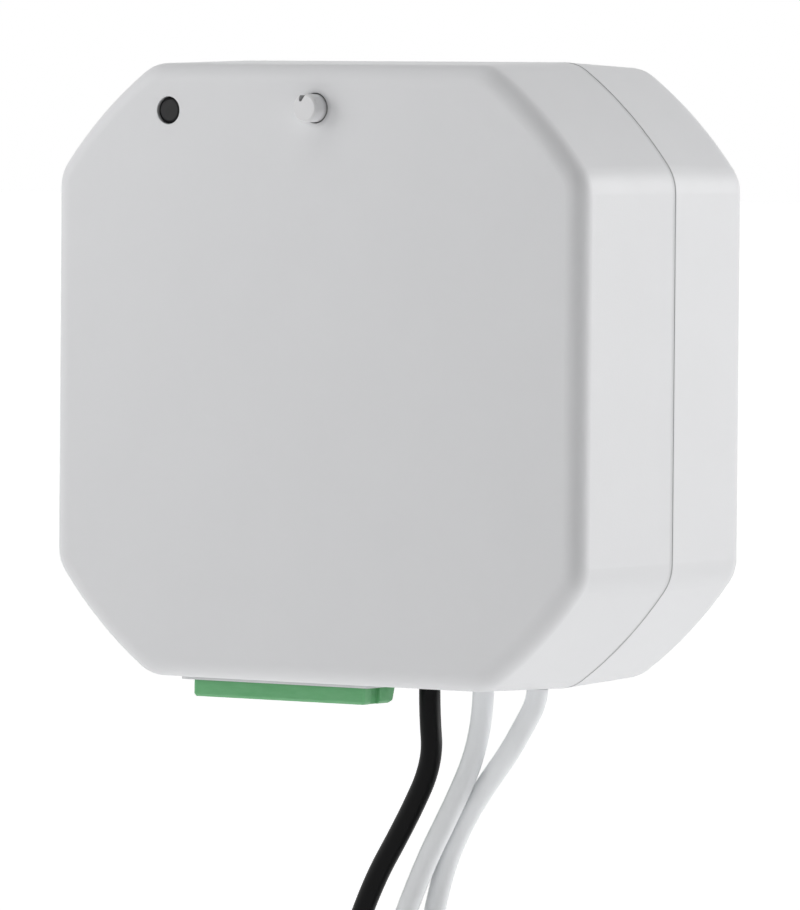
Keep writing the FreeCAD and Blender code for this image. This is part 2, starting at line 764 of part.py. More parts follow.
def contact_pins():
    """Four bent contact bars, each with a leg through the board."""
    piece = Piece("contact_pins")
    bar_front_z = cage_z - cage_depth / 2
    profile = piece.sketch("Bar", "YZ_Plane", first_pole_x - bar_width / 2, bar_y, bar_front_z)
    bar_length = leg_z + leg_thickness / 2 - bar_front_z
    rectangle(profile, bar_thickness, bar_length, bar_thickness / 2, bar_length / 2)
    bar = piece.pad(profile, bar_width, "+X")
    leg_sketch = piece.sketch("Leg", "XZ_Plane", first_pole_x, bar_y + bar_thickness, leg_z)
    rectangle(leg_sketch, leg_width, leg_thickness)
    leg = piece.pad(leg_sketch, bar_y + bar_thickness - board_front_y + tail_length, "-Y")
    piece.row([bar, leg], pitch, poles)
    return piece


def terminal_screw(pole):
    """One slotted clamp screw."""
    piece = Piece(f"terminal_screw_{pole + 1}")
    x = first_pole_x + pitch * pole
    shank_end = bar_y + bar_thickness + screw_end_gap
    shank_length = head_bottom_y - shank_end
    piece.turn("Screw", x, shank_end, cage_z, [
        (0, 0),
        (0, screw_radius),
        (shank_length, screw_radius),
        (shank_length, screw_head_radius),
        (shank_length + screw_head_height, screw_head_radius),
        (shank_length + screw_head_height, 0),
    ])
    slot = piece.sketch("Slot", "XZ_Plane", x, head_top_y, cage_z)
    rectangle(slot, screw_head_radius * 2 + OVERCUT, screw_slot_width)
    piece.pocket(slot, screw_slot_depth, "-Y")
    return piece


def clamp_cage(pole):
    """One rising clamp: a square loop with the screw's thread in its top."""
    piece = Piece(f"clamp_cage_{pole + 1}")
    x = first_pole_x + pitch * pole
    block = piece.sketch("Block", "XZ_Plane", x, cage_bottom_y, cage_z)
    rectangle(block, cage_width, cage_depth)
    piece.pad(block, cage_height, "+Y")
    window_height = cage_height - cage_floor - cage_top
    window = piece.sketch("Window", "XY_Plane", x, cage_bottom_y + cage_floor, cage_z - cage_depth / 2)
    rectangle(window, cage_width - cage_side * 2, window_height, 0, window_height / 2)
    piece.pocket(window, cage_depth + OVERCUT, "+Z")
    thread = piece.sketch("Thread", "XZ_Plane", x, cage_bottom_y + cage_height, cage_z)
    circle(thread, screw_radius + running_gap)
    piece.pocket(thread, cage_top + cage_gap, "-Y")
    return piece


def on_board(node, sizes, y=board_rear_y, towards="+Y"):
    """A moulded block that stands on a board, bevelled down its corners and round its top."""
    across, up, tall, x, z = sizes
    piece = Piece(node)
    base = piece.sketch("Base", "XZ_Plane", x, y, z)
    rectangle(base, across, up)
    piece.pad(base, tall, towards)
    piece.bevel(part_bevel, runs_along_y)
    top_y = y + tall if towards == "+Y" else y - tall
    piece.bevel(part_bevel / 2, lies_at_y(top_y))
    return piece


def can_capacitor(node, sizes):
    """A round electrolytic capacitor."""
    radius, tall, x, z = sizes
    piece = Piece(node)
    piece.turn("Can", x, board_rear_y, z, [
        (0, 0),
        (0, radius),
        (tall - can_bevel, radius),
        (tall, radius - can_bevel),
        (tall, 0),
    ])
    return piece


def varistor():
    """A disc varistor that stands on two flat legs."""
    piece = Piece("varistor")
    left = varistor_x - varistor_thickness / 2
    middle_y = board_rear_y + varistor_stand + varistor_radius
    disc = piece.sketch("Disc", "YZ_Plane", left, middle_y, varistor_z)
    circle(disc, varistor_radius)
    piece.pad(disc, varistor_thickness, "+X")
    legs = piece.sketch("Legs", "XZ_Plane", varistor_x, board_rear_y, varistor_z)
    for side in (1, -1):
        rectangle(legs, varistor_leg, varistor_leg, 0, varistor_radius / 2 * side)
    piece.pad(legs, varistor_stand + varistor_radius / 2, "+Y")
    return piece


def radio_header():
    """The pin strip that carries the radio board."""
    piece = Piece("radio_header")
    base = piece.sketch("Strip", "XZ_Plane", radio_x, board_rear_y, header_z)
    rectangle(base, header_length, header_width)
    piece.pad(base, radio_lift, "+Y")
    return piece


def radio_board():
    """The small radio board, parallel to the main board."""
    piece = Piece("radio_board")
    base = piece.sketch("Board", "XZ_Plane", radio_x, board_rear_y + radio_lift, radio_z)
    rectangle(base, radio_width, radio_depth)
    piece.pad(base, radio_thickness, "+Y")
    return piece


def bent_path(points, share=0.45):
    """Straight runs through points, joined by tangent arcs as large as the runs allow."""
    corners = []
    for before, at, after in zip(points, points[1:], points[2:]):
        back, on = before - at, after - at
        turn = math.pi - back.getAngle(on)
        cut = share * min(back.Length, on.Length)
        corners.append((at, back.normalize(), on.normalize(), turn, cut))
    edges, radii, place_now = [], [], points[0]
    for at, back, on, turn, cut in corners:
        start, end = at + back * cut, at + on * cut
        radius = cut / math.tan(turn / 2)
        middle = at + (back + on).normalize() * (radius / math.cos(turn / 2) - radius)
        edges.append(Part.LineSegment(place_now, start).toShape())
        edges.append(Part.Arc(start, middle, end).toShape())
        radii.append(radius)
        place_now = end
    edges.append(Part.LineSegment(place_now, points[-1]).toShape())
    return Part.Wire(edges), radii


def tube(node, points, radius):
    """A round tube along a bent path, as one solid."""
    path, radii = bent_path(points)
    ring = Part.Circle(points[0], points[1] - points[0], radius).toShape()
    solid = path.makePipeShell([Part.Wire([ring])], True, False)
    holder = doc.addObject("Part::Feature", f"Solid_{node}")
    holder.Label = node
    holder.Shape = solid
    expected = math.pi * radius**2 * path.Length
    print(f"{node}: length {path.Length:.1f}, tightest radius {min(radii):.1f}, "
          f"volume {solid.Volume:.1f} against {expected:.1f}")
    return holder, path


def mitred_tube(points, radius):
    """A round tube of straight runs with mitred corners."""
    path = Part.makePolygon(points)
    ring = Part.Circle(points[0], points[1] - points[0], radius).toShape()
    # Solid, without a twist, and 1 for mitred corners
    return path.makePipeShell([Part.Wire([ring])], True, False, 1)


def lead_tails():
    """The fixed ends of the three leads: through the wall, then across to the board."""
    solids = []
    for number in range(leads):
        x = lead_first_x.number + lead_pitch.number * number
        wall_z = -height.number / 2
        low = Vector(x, lead_y.number, wall_z)
        turn = low + Vector(0, 0, lead_straight.number)
        across = lead_y.number - board_rear_y.number - lead_stub.number
        foot = turn + Vector(0, -across, across)
        board = foot + Vector(0, -lead_stub.number, 0)
        solids.append(mitred_tube([low, turn, foot, board], lead_radius.number))
    holder = doc.addObject("Part::Feature", "Solid_lead_tails")
    holder.Label = "lead_tails"
    holder.Shape = Part.Compound(solids)


# The free leads leave straight down, sweep to the left and then hang. Each route is given
# from its own exit: sideways, towards the back, and down.
LEAD_ROUTES = {
    "lead_black": [
        (0, 0, 0), (0, 0, 2.15), (0.35, 0, 5.75), (-1.8, 0, 9.95), (-5.4, -0.2, 15.85), (-8.9, -0.5, 26.4),
        (-9.9, -0.7, 45), (-8.9, -0.4, 67), (-9.8, -0.6, 88),
    ],
    "lead_white_1": [
        (0, 0, 0), (0, 0, 1.75), (-0.65, 0, 4.95), (-2.2, 0, 8.25), (-5.7, 0.2, 14.15), (-10.1, 0.6, 24.4),
        (-12.3, 0.9, 42.4), (-11.5, 0.8, 64.8), (-12.7, 1.0, 87.6),
    ],
    "lead_white_2": [
        (0, 0, 0), (0, 0, 1.25), (-0.33, 0, 2.65), (-1.15, 0, 4.25), (-3.1, 0, 6.95), (-6.6, 0.2, 11.75),
        (-10.6, 1.0, 20.9), (-12.7, 2.2, 39), (-12.3, 2.4, 62.8), (-13.4, 2.2, 86.6),
    ],
}


def free_leads():
    """The three free leads and the bare tinned end of each."""
    for number, (node, route) in enumerate(LEAD_ROUTES.items()):
        exit_x = lead_first_x.number + lead_pitch.number * number
        exit_point = Vector(exit_x, lead_y.number, -height.number / 2)
        points = [exit_point + Vector(side, back, -down) for side, back, down in route]
        tube(node, points, lead_radius.number)
        along = (points[-1] - points[-2]).normalize()
        tip = doc.addObject("Part::Feature", f"Solid_{node}_tip")
        tip.Label = f"{node}_tip"
        tip.Shape = Part.makeCylinder(core_radius.number, core_bare.number, points[-1], along)


def antenna():
    """The wire aerial: up from the radio board, then along it."""
    foot_x = radio_x + radio_width / 2 - antenna_inset
    foot_z = radio_z + radio_depth / 2 - antenna_inset
    foot_y = board_rear_y + radio_lift + radio_thickness
    foot = Vector(foot_x.number, foot_y.number, foot_z.number)
    bend = foot + Vector(0, antenna_rise.number, 0)
    end = bend + Vector(antenna_run.number, 0, 0)
    holder = doc.addObject("Part::Feature", "Solid_antenna")
    holder.Label = "antenna"
    holder.Shape = mitred_tube([foot, bend, end], antenna_radius.number)


front_cover()
rear_case()
push_button()
switch_body()
switch_stem()
indicator_lens()
main_board()
terminal_housing()
contact_pins()
for pole in range(poles):
    terminal_screw(pole)
    clamp_cage(pole)
on_board("status_led", led_size, board_front_y, "-Y")
varistor()
can_capacitor("bulk_capacitor", bulk_size)
can_capacitor("smoothing_capacitor", smoothing_size)
for node, sizes in (
    ("relay_up", relay_up_size),
    ("relay_down", relay_down_size),
    ("mains_capacitor", film_size),
    ("power_transformer", transformer_size),
    ("fuse", fuse_size),
    ("power_inductor", inductor_size),
    ("bridge_rectifier", rectifier_size),
    ("power_chip", power_chip_size),
    ("controller_chip", controller_size),
):
    on_board(node, sizes)
radio_header()
radio_board()
on_board("radio_shield", shield_size, board_rear_y + radio_lift + radio_thickness)
antenna()
lead_tails()
free_leads()

doc.recompute()

# Check every object, then write each sub-part
for thing in doc.Objects:
    if "Invalid" in thing.State or "Error" in thing.State:
        raise RuntimeError(f"{thing.Label} failed: {thing.State}")
sub_parts = [thing for thing in doc.Objects if thing.TypeId in ("PartDesign::Body", "Part::Feature")]
os.makedirs("parts", exist_ok=True)
for sub_part in sub_parts:
    if sub_part.Shape.isNull() or not sub_part.Shape.isValid():
        raise RuntimeError(f"{sub_part.Label} has no valid shape")
    sub_part.Shape.exportStep(f"parts/{sub_part.Label}.step")
print(len(sub_parts), "sub-parts written")
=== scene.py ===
import math

import bmesh
import bpy
from bpy.props import FloatProperty, FloatVectorProperty, IntProperty, PointerProperty
from mathutils import Matrix, Vector
from mathutils.geometry import convex_hull_2d


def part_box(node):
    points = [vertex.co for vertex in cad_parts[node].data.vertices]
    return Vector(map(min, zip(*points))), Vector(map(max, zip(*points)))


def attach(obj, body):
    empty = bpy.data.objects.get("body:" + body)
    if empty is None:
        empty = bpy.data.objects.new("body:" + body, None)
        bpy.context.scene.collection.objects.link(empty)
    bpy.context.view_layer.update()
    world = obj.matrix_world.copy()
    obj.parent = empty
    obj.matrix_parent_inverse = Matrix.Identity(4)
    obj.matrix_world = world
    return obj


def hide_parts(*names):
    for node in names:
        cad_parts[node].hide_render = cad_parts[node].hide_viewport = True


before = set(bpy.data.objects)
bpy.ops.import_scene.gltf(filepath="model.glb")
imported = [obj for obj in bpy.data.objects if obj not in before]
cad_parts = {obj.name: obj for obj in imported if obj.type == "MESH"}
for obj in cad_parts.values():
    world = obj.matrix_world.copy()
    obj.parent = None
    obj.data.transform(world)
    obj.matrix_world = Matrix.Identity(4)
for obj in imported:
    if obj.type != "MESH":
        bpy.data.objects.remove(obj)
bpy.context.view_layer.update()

bl_info = {
    "name": "Roller Shutter Module",
    "version": (1, 0, 0),
    "blender": (4, 5, 0),
    "location": "View3D > Sidebar > Shutter",
    "description": "Finishes, leads, bare ends and studio for a flush roller shutter module",
    "category": "Object",
}

# Places come from model.glb, in metres; the small sizes below are millimetres times MM
MM = 0.001
SAME_PLACE = 0.001 * MM  # points nearer to each other than this are one

# The groove between the shells: its width and middle, and its bottom's play at each side
# and thickness
SEAM_GAP = 0.25 * MM
SEAM_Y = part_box("front_cover")[1].y + SEAM_GAP / 2
GROOVE_PLAY = 0.005 * MM
GROOVE_THICKNESS = 0.3 * MM

# Shares of the plastic's brightness where shade is painted into its colour: on the groove's
# bottom, at its edges, and deep in a crevice that is narrower than the reach
GROOVE_SHADE = 0.9
SHOULDER_SHADE = 0.87
CREVICE_SHADE = 0.3
CREVICE_REACH = 0.5 * MM

# Each lead's route in millimetres from its hole: sideways, backwards, down
LEAD_ROUTES = {
    "lead_black": [
        (0, 0, 0), (0, 0, 2.15), (0.35, 0, 5.75), (-1.8, 0, 9.95), (-5.4, -0.2, 15.85),
        (-8.9, -0.5, 26.4), (-9.9, -0.7, 45), (-8.9, -0.4, 67), (-9.8, -0.6, 88),
    ],
    "lead_white_1": [
        (0, 0, 0), (0, 0, 1.75), (-0.65, 0, 4.95), (-2.2, 0, 8.25), (-5.7, 0.2, 14.15),
        (-10.1, 0.6, 24.4), (-12.3, 0.9, 42.4), (-11.5, 0.8, 64.8), (-12.7, 1.0, 87.6),
    ],
    "lead_white_2": [
        (0, 0, 0), (-0.03, 0, 0.95), (-1.2, 0.1, 2.75), (-2.75, 0.5, 4.8), (-4.95, 1.2, 7.0),
        (-7.5, 1.9, 9.9), (-9.75, 2.15, 14.2), (-11.3, 2.2, 21.5), (-12.7, 2.2, 39),
        (-12.3, 2.4, 62.8), (-13.4, 2.2, 86.4),
    ],
}
LEAD_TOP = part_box("lead_black")[1].z
LEAD_TIPS = ("lead_black_tip", "lead_white_1_tip", "lead_white_2_tip")
LEAD_END = min(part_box(node)[0].z for node in LEAD_TIPS)

# Bare ends: the most rings of wires, the steps along and the faces round one wire, the first
# end's turns, and how much more each next end has
MOST_RINGS = 3
WIRE_STEPS = 24
WIRE_FACES = 10
FIRST_TURNS = 0.8
MORE_TURNS = 0.1

# The studio: the aim point, the near softbox's width for each metre of its distance, and the
# floor's half side in metres and its brightness where it is seen directly
AIM_SIDE = -0.028 * MM
AIM_DEPTH = -10.93 * MM
DISK_SHARE = 0.68
FLOOR_REACH = 12
FLOOR_SEEN = 0.62
WHITE = (1, 1, 1)

# The colour mixer's sockets, by number: factor, first and second colour, and its result
MIX_INPUTS = (0, 6, 7)
MIX_RESULT = 2
# The distance between the wave texture's lines at a scale of 1
WAVE_SPACING = math.tau / 20


def colour_property(name, description, default):
    """A colour that a user may change."""
    return FloatVectorProperty(
        name=name, description=description, default=default, subtype="COLOR", min=0, max=1)


def length_property(name, description, default):
    """A length that a user may change."""
    return FloatProperty(
        name=name, description=description, default=default, min=0, unit="LENGTH", precision=6)


def angle_property(name, description, degrees):
    """An angle that a user may change."""
    return FloatProperty(
        name=name, description=description, default=math.radians(degrees), subtype="ANGLE")


def strength_property(name, description, default):
    """A lamp's strength that a user may change."""
    return FloatProperty(name=name, description=description, default=default, min=0)


class CasingSettings(bpy.types.PropertyGroup):
    """Colours and surface of the moulded casing."""

    shell_colour: colour_property(
        "Shell colour", "Cool white of the two shells", (0.780, 0.784, 0.797))
    button_colour: colour_property(
        "Button colour", "White of the push button", (0.80, 0.80, 0.81))
    lens_colour: colour_property(
        "Lens colour", "Smoked plastic of the indicator window", (0.014, 0.014, 0.015))
    grain: length_property("Grain", "Size of the sparked texture of the mould", 0.16 * MM)
    edge_softness: length_property(
        "Edge softness", "Radius that sharp moulded edges seem to have", 0.1 * MM)
    # painted shade: width of the darker band painted into the shells beside the groove
    painted_seam_shade_width: length_property(
        "Seam shoulder", "Width of the soft shade beside the groove", 0.22 * MM)
    seam_depth: length_property(
        "Seam depth", "Depth of the groove between the shells", 0.03 * MM)


class TerminalSettings(bpy.types.PropertyGroup):
    """Foot and colours of the screw terminal."""

    housing_colour: colour_property(
        "Housing colour", "Green of the terminal housing", (0.145, 0.455, 0.195))
    foot_edge: length_property(
        "Foot edge", "Height of the bevelled edge round the foot", 0.3 * MM)
    foot_drop: length_property("Foot drop", "How much lower the foot reaches", 0.32 * MM)
    foot_shift: length_property(
        "Foot shift", "How far the foot's end leans to the left", 0.13 * MM)
    screw_colour: colour_property(
        "Screw colour", "Zinc plating of the screws", (0.70, 0.70, 0.69))
    cage_colour: colour_property(
        "Cage colour", "Nickel plating of the clamp cages", (0.62, 0.61, 0.58))


class LeadSettings(bpy.types.PropertyGroup):
    """Sizes and colours of the switch leads."""

    radius: length_property("Radius", "Outer radius of the insulation", 0.8 * MM)
    spacing: length_property("Spacing", "Distance between neighbouring leads", 4.72 * MM)
    first_hole: length_property(
        "First hole", "Distance of the first lead from the middle", 3.4 * MM)
    from_seam: length_property(
        "From seam", "Distance of the leads in front of the seam", 1.2 * MM)
    bare_end: length_property("Bare end", "Length of the tinned end", 6.0 * MM)
    strand_radius: length_property(
        "Strand radius", "Radius of one wire of the core", 0.075 * MM)
    rings: IntProperty(
        name="Rings", description="Rings of wires round the middle one",
        default=2, min=1, max=MOST_RINGS)
    black: colour_property("Black", "Insulation of the first lead", (0.003, 0.003, 0.0034))
    white: colour_property("White", "Insulation of the other leads", (0.87, 0.885, 0.90))


class StudioSettings(bpy.types.PropertyGroup):
    """Camera, lamps and floor."""

    azimuth: angle_property("Azimuth", "Camera direction round the module", 34.486)
    elevation: angle_property("Elevation", "Camera height above the level", 2.290)
    roll: angle_property("Roll", "Turn of the camera about its own axis", 0.459)
    distance: length_property("Distance", "From the aim point to the camera", 663.36 * MM)
    aim_height: FloatProperty(
        name="Aim height", description="Height of the aim point",
        default=-6.13 * MM, unit="LENGTH")
    lens: FloatProperty(
        name="Lens", description="Focal length in millimetres", default=358.63, min=1)
    ambient: strength_property("Ambient", "Light of the room", 0.02)
    left_light: strength_property("Left light", "Strength of the near softbox", 0.287)
    left_distance: length_property(
        "Left distance", "From the module to the near softbox", 220 * MM)
    rear_light: strength_property("Rear light", "Strength of the rear softbox", 0.655)
    top_light: strength_property("Top light", "Strength of the top softbox", 0.37)
    floor_light: strength_property("Floor light", "Glow of the lit floor", 0.475)
    floor_gap: length_property(
        "Floor gap", "Space between the longest lead and the floor", 40 * MM)


def linked(name, data):
    """A new object in the scene."""
    item = bpy.data.objects.new(name, data)
    bpy.context.scene.collection.objects.link(item)
    return item


def dimmed(colour, share):
    """A colour with a share of its brightness."""
    return [channel * share for channel in colour]


def feed(tree, socket, value):
    """Link an input from another node's output, or set it to a number, vector or colour."""
    if isinstance(value, bpy.types.NodeSocket):
        tree.links.new(value, socket)
    elif socket.type == "RGBA":
        socket.default_value = (*value[:3], 1)
    else:
        socket.default_value = value


def add(tree, kind, *in_order, **by_name):
    """A new node with its inputs fed in order or by name."""
    node = tree.nodes.new(kind)
    for socket, value in zip(node.inputs, in_order):
        feed(tree, socket, value)
    for name, value in by_name.items():
        feed(tree, node.inputs[name.replace("_", " ")], value)
    return node


def maths(tree, operation, *values):
    """The result of one sum of numbers and other nodes' outputs."""
    node = add(tree, "ShaderNodeMath", *values)
    node.operation = operation
    return node.outputs[0]


class Finish:
    """A procedural material: noise and patterns in object coordinates feed one shader."""

    def __init__(self, name, **constants):
        self.material = bpy.data.materials.new(name)
        self.material.use_nodes = True
        self.tree = self.material.node_tree
        self.shader = self.tree.nodes["Principled BSDF"]
        self.place = self.node("ShaderNodeTexCoord").outputs["Object"]
        self.base = None
        self.normal = None
        for socket, value in constants.items():
            feed(self.tree, self.shader.inputs[socket.replace("_", " ")], value)

    def node(self, kind, **sockets):
        """A new node of this material."""
        return add(self.tree, kind, **sockets)

    def stretched(self, stretch):
        """Object coordinates pulled out along one or more axes."""
        scale = [1 / share for share in stretch]
        return self.node("ShaderNodeMapping", Vector=self.place, Scale=scale).outputs["Vector"]

    def noise(self, size, detail=2.0, stretch=None):
        """Soft grain of a given size in metres."""
        where = self.stretched(stretch) if stretch else self.place
        texture = self.node("ShaderNodeTexNoise", Vector=where, Scale=1 / size, Detail=detail)
        return texture.outputs["Fac"]

    def cells(self, size, stretch):
        """Distance to the nearest of scattered points, for spots and flakes."""
        where = self.stretched(stretch)
        texture = self.node("ShaderNodeTexVoronoi", Vector=where, Scale=1 / size)
        return texture.outputs["Distance"]

    def waves(self, size, direction, distortion=0.0):
        """Even lines across one axis, a size apart."""
        scale = WAVE_SPACING / size
        texture = self.node(
            "ShaderNodeTexWave", Vector=self.place, Scale=scale, Distortion=distortion)
        texture.bands_direction = direction
        return texture.outputs["Fac"]

    def between(self, value, low, high):
        """A value of 0 to 1 stretched to run from low to high."""
        stage = self.node("ShaderNodeMapRange", Value=value, To_Min=low, To_Max=high)
        return stage.outputs["Result"]

    def part(self, value, start, end, low=0.0):
        """The stretch of a value from start to end, as low to 1."""
        stage = self.node(
            "ShaderNodeMapRange", Value=value, From_Min=start, From_Max=end, To_Min=low)
        return stage.outputs["Result"]

    def mix(self, factor, first, second, blend="MIX"):
        """Two colours, or a colour and a node's output, blended."""
        node = self.node("ShaderNodeMix")
        node.data_type = "RGBA"
        node.blend_type = blend
        for number, value in zip(MIX_INPUTS, (factor, first, second)):
            feed(self.tree, node.inputs[number], value)
        return node.outputs[MIX_RESULT]

    def colour(self, output):
        """The base colour from a node."""
        feed(self.tree, self.shader.inputs["Base Color"], output)
        self.base = output

    def shade(self, factor, colour, share):
        """The base colour, darker by a share where the factor is low."""
        self.colour(self.mix(factor, dimmed(colour, 1 - share), colour))

    def darken(self, shade):
        """The base colour so far, times a shade of 0 to 1."""
        self.colour(self.mix(1.0, self.base, shade, "MULTIPLY"))

    def painted_crevice_shade(self, reach, darkest):
        """Painted shade: the base colour darker in gaps and corners narrower than a reach, from
        ambient occlusion.
        """
        open_share = self.node("ShaderNodeAmbientOcclusion", Distance=reach).outputs["AO"]
        self.darken(self.between(open_share, darkest, 1.0))

    def roughness(self, factor, low, high):
        """The roughness between two values."""
        feed(self.tree, self.shader.inputs["Roughness"], self.between(factor, low, high))

    def relief(self, normal):
        """The surface's direction from a node."""
        feed(self.tree, self.shader.inputs["Normal"], normal)
        self.normal = normal

    def soften_edges(self, radius):
        """Edges that catch the light as if they were rounded."""
        self.relief(self.node("ShaderNodeBevel", Radius=radius).outputs["Normal"])

    def bump(self, height, depth):
        """Relief of a given depth in metres, on top of the relief so far."""
        node = self.node("ShaderNodeBump", Height=height, Distance=depth, Strength=1.0)
        if self.normal:
            feed(self.tree, node.inputs["Normal"], self.normal)
        self.relief(node.outputs["Normal"])


def moulded(name, colour, grain, edge, low, high, relief):
    """Moulded thermoplastic with a sparked texture, soft edges, slight clouding and painted shade
    in its crevices.
    """
    finish = Finish(name, IOR=1.5, Specular_IOR_Level=0.4)
    finish.shade(finish.noise(7 * MM, 3.0), colour, 0.03)
    # painted shade: the base colour darker in gaps and corners, from ambient occlusion
    finish.painted_crevice_shade(CREVICE_REACH, CREVICE_SHADE)
    finish.roughness(finish.noise(1.6 * MM, 4.0), low, high)
    finish.soften_edges(edge)
    finish.bump(finish.noise(14 * MM, 1.0), 4 * grain * relief)
    finish.bump(finish.noise(grain, 2.0), grain * relief)
    return finish


def shell_finish(name, casing):
    """The shells' plastic, with painted shade on both sides of the groove between them."""
    finish = moulded(name, casing.shell_colour, casing.grain, casing.edge_softness,
                     low=0.42, high=0.52, relief=0.03)
    depth = finish.node("ShaderNodeSeparateXYZ", Vector=finish.place).outputs["Y"]
    from_seam = maths(finish.tree, "ABSOLUTE", maths(finish.tree, "SUBTRACT", depth, SEAM_Y))
    edge = SEAM_GAP / 2
    # painted shade: the shells' colour darker near the groove, down to the shoulder shade
    finish.darken(finish.part(from_seam, edge, edge + casing.painted_seam_shade_width, SHOULDER_SHADE))
    return finish.material


def groove_finish(name, casing):
    """The groove's bottom: the same plastic, dull, with painted half shade in its colour."""
    finish = Finish(name, IOR=1.5, Specular_IOR_Level=0.2)
    # painted shade: the shell colour dimmed to the groove shade
    finish.shade(finish.noise(2 * MM, 3.0), dimmed(casing.shell_colour, GROOVE_SHADE), 0.06)
    finish.roughness(finish.noise(1.6 * MM), 0.5, 0.65)
    finish.bump(finish.noise(casing.grain, 2.0), casing.grain * 0.05)
    return finish.material


def smoked_lens(name, colour):
    """Dark glossy plastic of the window, with faint swirls from moulding."""
    finish = Finish(name, IOR=1.5, Specular_IOR_Level=0.16)
    finish.shade(finish.noise(0.8 * MM, 2.0), colour, 0.2)
    finish.roughness(finish.noise(0.5 * MM, 3.0), 0.16, 0.3)
    finish.bump(finish.noise(0.6 * MM, 1.0), 0.004 * MM)
    return finish.material


def clear_epoxy(name):
    """Milky epoxy of the light-emitting diode."""
    finish = Finish(name, IOR=1.5, Subsurface_Weight=0.2, Subsurface_Scale=0.4 * MM)
    finish.shade(finish.noise(0.4 * MM), (0.85, 0.84, 0.74), 0.12)
    finish.roughness(finish.noise(0.3 * MM), 0.2, 0.35)
    return finish.material


def filled_nylon(name, colour, edge):
    """Glass-filled nylon of the terminal: short pale streaks, silky sheen, soft edges."""
    finish = Finish(name, IOR=1.53, Specular_IOR_Level=0.32)
    streaks = finish.part(finish.noise(0.35 * MM, 3.0, stretch=(4, 1, 1)), 0.3, 0.8)
    paler = [channel + (1 - channel) * 0.035 for channel in colour]
    finish.colour(finish.mix(streaks, dimmed(colour, 0.95), paler))
    finish.roughness(finish.noise(1.2 * MM, 3.0), 0.34, 0.46)
    finish.soften_edges(edge)
    finish.bump(finish.noise(0.25 * MM, 2.0, stretch=(3, 1, 1)), 0.006 * MM)
    return finish.material


def plated(name, colour, low, high, lines):
    """Plated metal with fine drawing lines and a slightly uneven coat."""
    finish = Finish(name, Metallic=1.0)
    finish.shade(finish.noise(0.9 * MM, 4.0), colour, 0.14)
    finish.roughness(finish.noise(0.25 * MM, 2.0), low, high)
    finish.soften_edges(0.05 * MM)
    finish.bump(finish.noise(lines, 1.0, stretch=(9, 1, 1)), 0.003 * MM)
    return finish.material


def turned_steel(name, colour):
    """Zinc-plated screw with the fine grooves of its turning."""
    finish = Finish(name, Metallic=1.0)
    finish.shade(finish.noise(0.7 * MM, 3.0), colour, 0.16)
    finish.roughness(finish.noise(0.3 * MM), 0.22, 0.36)
    finish.soften_edges(0.06 * MM)
    finish.bump(finish.waves(0.11 * MM, "Y", distortion=0.6), 0.004 * MM)
    return finish.material


def solder_mask(name, colour, track):
    """Circuit board: lacquer over copper tracks that show as paler raised lines."""
    finish = Finish(name, IOR=1.5, Coat_Weight=0.3, Coat_Roughness=0.15)
    weave = finish.waves(0.6 * MM, "X")
    tracks = finish.part(finish.cells(2.4 * MM, stretch=(3, 1, 1)), 0.28, 0.33)
    lacquer = finish.mix(weave, dimmed(colour, 0.88), colour)
    finish.colour(finish.mix(tracks, track, lacquer))
    finish.roughness(finish.noise(0.8 * MM), 0.28, 0.4)
    finish.bump(tracks, -0.03 * MM)
    return finish.material


def cast_case(name, colour, low, high):
    """Smooth case of a relay, chip or capacitor, with flow marks and a fine grain."""
    finish = Finish(name, IOR=1.52)
    finish.shade(finish.noise(2.2 * MM, 4.0), colour, 0.22)
    finish.roughness(finish.noise(0.6 * MM, 3.0), low, high)
    finish.soften_edges(0.15 * MM)
    finish.bump(finish.noise(0.2 * MM, 2.0), 0.008 * MM)
    return finish.material


def dipped_disc(name, colour):
    """Thick dipped lacquer with runs and pinholes."""
    finish = Finish(name, IOR=1.55, Coat_Weight=0.5, Coat_Roughness=0.1)
    finish.shade(finish.noise(1.5 * MM, 3.0), colour, 0.25)
    finish.roughness(finish.noise(0.7 * MM), 0.18, 0.32)
    finish.bump(finish.noise(1.1 * MM, 2.0), 0.08 * MM)
    return finish.material


def shrink_sleeve(name, colour, stripe):
    """Printed shrink sleeve of a can: a plain pale stripe down one side."""
    finish = Finish(name, IOR=1.48, Coat_Weight=0.35, Coat_Roughness=0.2)
    down = finish.part(finish.waves(9 * MM, "X"), 0.86, 0.9)
    finish.colour(finish.mix(down, colour, stripe))
    finish.roughness(finish.noise(1.0 * MM), 0.25, 0.4)
    finish.bump(finish.noise(0.9 * MM, 1.0, stretch=(1, 6, 1)), 0.01 * MM)
    return finish.material


def wound_tape(name, tape, core):
    """Transformer: turns of tape between two flanges of ferrite."""
    finish = Finish(name, IOR=1.5)
    turns = finish.part(finish.waves(5.2 * MM, "Z"), 0.3, 0.36)
    clouded = finish.mix(finish.noise(0.5 * MM), dimmed(tape, 0.8), tape)
    finish.colour(finish.mix(turns, core, clouded))
    finish.roughness(finish.noise(0.4 * MM), 0.35, 0.6)
    finish.bump(finish.waves(0.9 * MM, "Y"), 0.02 * MM)
    return finish.material


def insulation(name, colour, sheen):
    """Extruded PVC: faint lines along the lead, small dimples and handling marks."""
    finish = Finish(name, IOR=1.53, Specular_IOR_Level=sheen)
    finish.shade(finish.noise(1.3 * MM, 3.0, stretch=(1, 1, 7)), colour, 0.1)
    finish.roughness(finish.noise(0.8 * MM, 3.0), 0.3, 0.46)
    finish.bump(finish.noise(0.3 * MM, 2.0, stretch=(1, 1, 10)), 0.012 * MM)
    finish.bump(finish.noise(2.0 * MM, 2.0), 0.03 * MM)
    return finish.material


